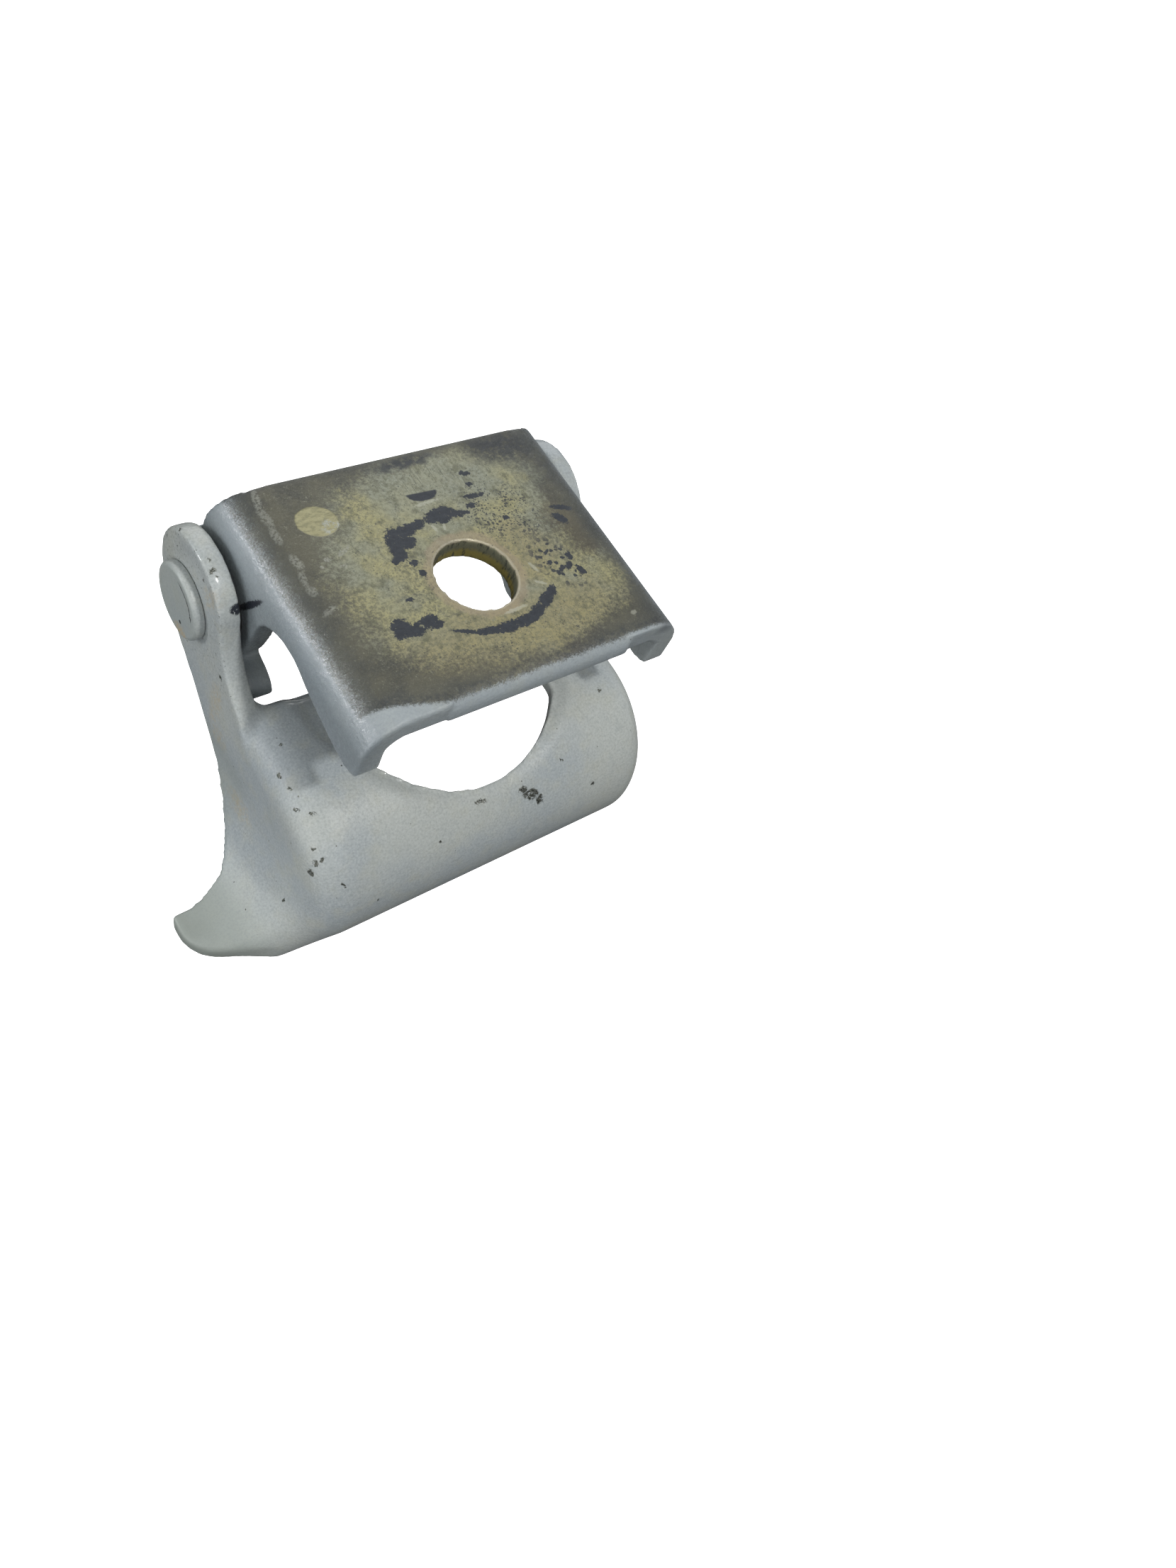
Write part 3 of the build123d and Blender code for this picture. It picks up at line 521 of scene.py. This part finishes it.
    # surface relief
    nrm = g.bump(g.noise(0.9, 3.0, 0.6, seed=81.0), 0.00009, 1.0)
    nrm = g.bump(g.noise(3.4, 4.0, 0.7, seed=82.0), 0.00004, 1.0, nrm)
    tr = g.mul(g.noise(2.6, 4.0, 0.8, seed=83.0), g.union([g.step(x, -18.5, -23.5), g.step(x, 18.5, 22.5), g.step(y, -11.0, -15.5)]))
    nrm = g.bump(tr, 0.00007, 1.0, nrm)
    glint = g.bump(g.noise(2.4, 3.0, 0.8, seed=88.0), 0.00006, 1.0)
    g.t.links.new(glint, g.b.inputs["Coat Normal"])
    g.put(g.b.inputs["Coat Weight"], g.mul(g.step(x, -19.0, -22.0), g.mixf(g.step(g.noise(2.2, 4.0, 0.8, seed=89.0), 0.42, 0.56), 0.15, 1.0)))
    g.b.inputs["Coat Roughness"].default_value = 0.07
    nrm = g.bump(g.inv(oval), 0.00006, 0.8, nrm)
    nrm = g.bump(g.inv(ring), 0.00005, 0.7, nrm)
    return g.done(col, rough, metal, nrm, 0.5)


# ----------------------------------------------------------------------
# give the CAD nodes rounded edges and the materials
# ----------------------------------------------------------------------
def soften(o, voxel, passes, factor=0.5):
    r = o.modifiers.new("remesh", "REMESH")
    r.mode = "VOXEL"
    r.voxel_size = voxel
    r.use_smooth_shade = True
    s = o.modifiers.new("smooth", "SMOOTH")
    s.factor = factor
    s.iterations = passes


def dish(o, cx, cy, r0, r1, depth):
    """press the sheet's margin round the opening and ease it smooth"""
    t = bpy.data.node_groups.new(o.name + "_margin", "GeometryNodeTree")
    t.interface.new_socket(name="Geometry", in_out="INPUT", socket_type="NodeSocketGeometry")
    t.interface.new_socket(name="Geometry", in_out="OUTPUT", socket_type="NodeSocketGeometry")
    N, L = t.nodes, t.links
    gi, go = N.new("NodeGroupInput"), N.new("NodeGroupOutput")
    sp, pos, nor = N.new("GeometryNodeSetPosition"), N.new("GeometryNodeInputPosition"), N.new("GeometryNodeInputNormal")

    def vm(op, a, b=None, s=None):
        n = N.new("ShaderNodeVectorMath")
        n.operation = op
        for k, v in ((0, a), (1, b)):
            if v is not None:
                if isinstance(v, bpy.types.NodeSocket):
                    L.new(v, n.inputs[k])
                else:
                    n.inputs[k].default_value = v
        if s is not None:
            L.new(s, n.inputs["Scale"])
        return n.outputs[1] if op in ("LENGTH", "DOT_PRODUCT") else n.outputs[0]

    def rng(v, a, b, c, d):
        n = N.new("ShaderNodeMapRange")
        n.interpolation_type = "SMOOTHSTEP"
        L.new(v, n.inputs["Value"])
        for key, val in (("From Min", a), ("From Max", b), ("To Min", c), ("To Max", d)):
            n.inputs[key].default_value = val
        return n.outputs[0]

    def mu(a, b):
        n = N.new("ShaderNodeMath")
        n.operation = "MULTIPLY"
        L.new(a, n.inputs[0])
        L.new(b, n.inputs[1])
        return n.outputs[0]

    rel = vm("MULTIPLY", vm("SUBTRACT", pos.outputs[0], (cx, cy, 0.0)), (1.0, 1.0, 0.0))
    d = vm("LENGTH", rel)
    rad = vm("DOT_PRODUCT", nor.outputs[0], vm("NORMALIZE", rel))
    amt = mu(rng(d, r0, r1, -depth, 0.0), rng(rad, -0.85, -0.45, 0.0, 1.0))
    high = N.new("ShaderNodeSeparateXYZ")
    L.new(pos.outputs[0], high.inputs[0])
    amt = mu(amt, rng(high.outputs[2], -0.033, -0.029, 0.0, 1.0))
    L.new(gi.outputs[0], sp.inputs["Geometry"])
    L.new(vm("SCALE", nor.outputs[0], s=amt), sp.inputs["Offset"])
    L.new(sp.outputs[0], go.inputs[0])
    m = o.modifiers.new("margin", "NODES")
    m.node_group = t
    e = o.modifiers.new("ease", "SMOOTH")
    e.factor = 0.5
    e.iterations = 6


def dress(o, mat):
    o.data.materials.clear()
    o.data.materials.append(mat)


arm = nodes["arm"]
chan = nodes["channel_bracket"]
pin = nodes["hinge_pin"]
dress(arm, arm_paint())
dress(chan, channel_mat())
dress(pin, pin_paint())
bm = bush_mat()
for nm in ("bush_left", "bush_right"):
    dress(nodes[nm], bm)
soften(arm, 0.42 * MM, 9)
dish(arm, -0.8 * MM, 1.2 * MM, 18.6 * MM, 21.4 * MM, 0.6 * MM)
soften(chan, 0.36 * MM, 4)

# ----------------------------------------------------------------------
# floor, light, camera
# ----------------------------------------------------------------------
bpy.ops.mesh.primitive_plane_add(size=3.0, location=(0.0, 0.0, -0.30))
floor = bpy.context.object
floor.name = "floor"
fm = Graph("floor_white")
fn = fm.noise(0.01, 2.0, seed=90.0)
floor.data.materials.append(fm.done(fm.mix(fn, (0.86, 0.86, 0.85, 1), (0.9, 0.9, 0.89, 1)), 0.85, 0.0, None, 0.1))
fm.b.inputs["Emission Color"].default_value = (1.0, 1.0, 1.0, 1.0)
fm.b.inputs["Emission Strength"].default_value = 1.0
floor.visible_diffuse = False
floor.visible_glossy = False

world = bpy.data.worlds.new("studio")
scene.world = world
world.use_nodes = True
wt = world.node_tree
bg = wt.nodes["Background"]
wc = wt.nodes.new("ShaderNodeTexCoord")
wx = wt.nodes.new("ShaderNodeSeparateXYZ")
wr = wt.nodes.new("ShaderNodeMapRange")
wr.interpolation_type = "SMOOTHSTEP"
wr.inputs["From Min"].default_value = -0.4
wr.inputs["From Max"].default_value = 0.45
wr.inputs["To Min"].default_value = 0.03
wr.inputs["To Max"].default_value = 0.31
wt.links.new(wc.outputs["Generated"], wx.inputs[0])
wt.links.new(wx.outputs[2], wr.inputs["Value"])
wp = wt.nodes.new("ShaderNodeLightPath")
wm = wt.nodes.new("ShaderNodeMix")
wm.data_type = "FLOAT"
wt.links.new(wp.outputs["Is Camera Ray"], wm.inputs[0])
wt.links.new(wr.outputs[0], wm.inputs[2])
wm.inputs[3].default_value = 1.05
wt.links.new(wm.outputs[0], bg.inputs[1])
bg.inputs[0].default_value = (0.97, 0.985, 1.0, 1.0)


def area(name, direction, dist, size, power, color=(1, 1, 1), size_y=None, target=(0, 0, -0.02)):
    d = Vector(direction).normalized()
    loc = Vector(target) + d * dist
    li = bpy.data.lights.new(name, "AREA")
    li.shape = "RECTANGLE"
    li.size = size
    li.size_y = size_y or size
    li.energy = power
    li.color = color
    ob = bpy.data.objects.new(name, li)
    scene.collection.objects.link(ob)
    ob.location = loc
    ob.rotation_euler = (-d).to_track_quat("-Z", "Y").to_euler()
    return ob


area("key", (0.13, -0.46, 0.88), 0.8, 0.055, 2.95, (1.0, 0.985, 0.965))
area("front_soft", (-0.30, -0.72, 0.62), 0.8, 0.40, 1.15, (1.0, 0.99, 0.975))
area("left_soft", (-0.97, -0.20, 0.12), 0.8, 0.55, 2.2, (0.985, 0.99, 1.0))
area("left_back", (-0.85, 0.475, 0.20), 0.7, 0.08, 1.35, (0.98, 0.99, 1.0), 0.22)
area("glint", (-0.62, 0.16, 0.79), 0.8, 0.04, 0.25, (1.0, 1.0, 1.0))
area("back_soft", (0.45, 0.85, 0.28), 0.9, 0.7, 1.6, (0.985, 0.99, 1.0))
area("right_soft", (0.95, -0.15, 0.25), 0.9, 0.6, 1.0, (0.99, 0.99, 1.0))
area("top_soft", (0.35, 0.65, 0.75), 0.9, 0.6, 1.1, (0.98, 0.99, 1.0))

cam = bpy.data.cameras.new("cam")
cam.sensor_fit = "AUTO"
cam.sensor_width = 36.0
cam.lens = 26.506
cam.clip_start = 0.005
cam.clip_end = 10.0
co = bpy.data.objects.new("cam", cam)
scene.collection.objects.link(co)
R = ((0.7681, -0.5444, 0.3370), (-0.3493, -0.7974, -0.4921), (0.5367, 0.2603, -0.8026))
M = Matrix(((R[0][0], -R[1][0], -R[2][0], -0.07747),
            (R[0][1], -R[1][1], -R[2][1], -0.06745),
            (R[0][2], -R[1][2], -R[2][2], 0.10985),
            (0, 0, 0, 1)))
co.matrix_world = M
scene.camera = co

bpy.context.view_layer.update()
